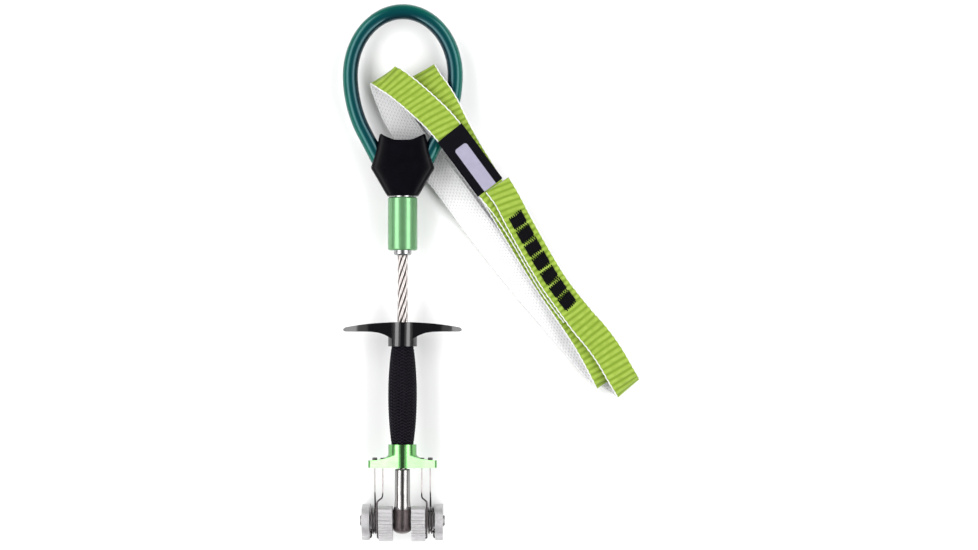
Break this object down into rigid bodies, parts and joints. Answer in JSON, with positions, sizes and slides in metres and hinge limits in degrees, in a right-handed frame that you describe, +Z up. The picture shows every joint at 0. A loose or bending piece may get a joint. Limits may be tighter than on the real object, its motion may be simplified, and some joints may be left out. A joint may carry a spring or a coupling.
{
  "type": "spring loaded camming device",
  "caption": "Climbing cam with toothed lobes on one axle, wire pulled trigger, cable stem, covered thumb loop and doubled webbing sling.",
  "frame": {"origin": "middle of the axle, between the two inner lobes", "axes": "+X along the axle, +Y from the axle towards the thumb loop, +Z up from the surface that the device lies on"},
  "size_m": [0.1149, 0.2072, 0.0242],
  "materials": {
    "head_steel": "satin, slightly brown",
    "polished_steel": "polished",
    "wire_rope": "stranded wire rope",
    "bush_steel": "turned",
    "lobe_alloy": "satin, toothed faces",
    "spring_steel": "drawn wire",
    "trigger_wire": "drawn wire",
    "green_anodised": "bright green anodised",
    "green_sleeve": "bright green anodised",
    "bare_aluminium": "bare, bright",
    "liner_plastic": "plain",
    "black_braid": "braided",
    "black_plastic": "gloss",
    "boot_rubber": "smooth",
    "teal_tube": "translucent gloss tube",
    "green_webbing": "ribbed webbing with white edges and white inner face",
    "black_label": "sewn label with a plain pale patch",
    "black_thread": "bar tacks"
  },
  "bodies": {
    "stem": {"stem_head": "head_steel", "stem_terminal": "polished_steel", "stem_cable": "wire_rope", "axle": "polished_steel", "spring_bushes": "bush_steel", "torsion_spring_left": "spring_steel", "torsion_spring_right": "spring_steel", "ferrule": "bare_aluminium", "anodised_sleeve": "green_sleeve", "boot": "boot_rubber", "loop_cable": "wire_rope", "loop_cover": "teal_tube"},
    "trigger": {"trigger_bar": "black_plastic", "braided_sheath": "black_braid", "sheath_liner": "liner_plastic", "sheath_clamps": "bush_steel", "yoke": "green_anodised", "wire_beads": "spring_steel", "inner_wire_left": "trigger_wire", "inner_wire_right": "trigger_wire", "outer_wire_left": "trigger_wire", "outer_wire_right": "trigger_wire"},
    "inner_lobe_left": {"inner_lobe_left": "lobe_alloy"},
    "inner_lobe_right": {"inner_lobe_right": "lobe_alloy"},
    "outer_lobe_left": {"outer_lobe_left": "lobe_alloy"},
    "outer_lobe_right": {"outer_lobe_right": "lobe_alloy"},
    "sling": {"sling_webbing": "green_webbing", "sling_label": "black_label", "bar_tacks": "black_thread"}
  },
  "joints": [
    {"name": "trigger_slide", "type": "slide", "parent": "stem", "child": "trigger", "axis": [0, 0.9996, -0.0279], "range_m": [0, 0.00932], "stiffness_N_per_m": 600, "springref_m": -0.008},
    {"name": "inner_lobe_left_turn", "type": "hinge", "parent": "stem", "child": "inner_lobe_left", "pos_m": [-0.0065, 0, 0], "axis": [1, 0, 0], "range_deg": [-85.2, 0], "deforming": ["torsion_spring_left"]},
    {"name": "inner_lobe_right_turn", "type": "hinge", "parent": "stem", "child": "inner_lobe_right", "pos_m": [0.0065, 0, 0], "axis": [1, 0, 0], "range_deg": [-85.2, 0], "deforming": ["torsion_spring_right"]},
    {"name": "outer_lobe_left_turn", "type": "hinge", "parent": "stem", "child": "outer_lobe_left", "pos_m": [-0.0141, 0, 0], "axis": [1, 0, 0], "range_deg": [0, 85.2]},
    {"name": "outer_lobe_right_turn", "type": "hinge", "parent": "stem", "child": "outer_lobe_right", "pos_m": [0.0141, 0, 0], "axis": [1, 0, 0], "range_deg": [0, 85.2]},
    {"name": "sling_swing", "type": "hinge", "parent": "stem", "child": "sling", "pos_m": [0.0172, 0.156, 0], "axis": [0, 0, 1], "range_deg": [-6, 10]}
  ],
  "couplings": [
    {"joint": "inner_lobe_left_turn", "follows": "trigger_slide", "rad_per_m": -159.1},
    {"joint": "inner_lobe_right_turn", "follows": "trigger_slide", "rad_per_m": -159.1},
    {"joint": "outer_lobe_left_turn", "follows": "trigger_slide", "rad_per_m": 159.1},
    {"joint": "outer_lobe_right_turn", "follows": "trigger_slide", "rad_per_m": 159.1}
  ]
}
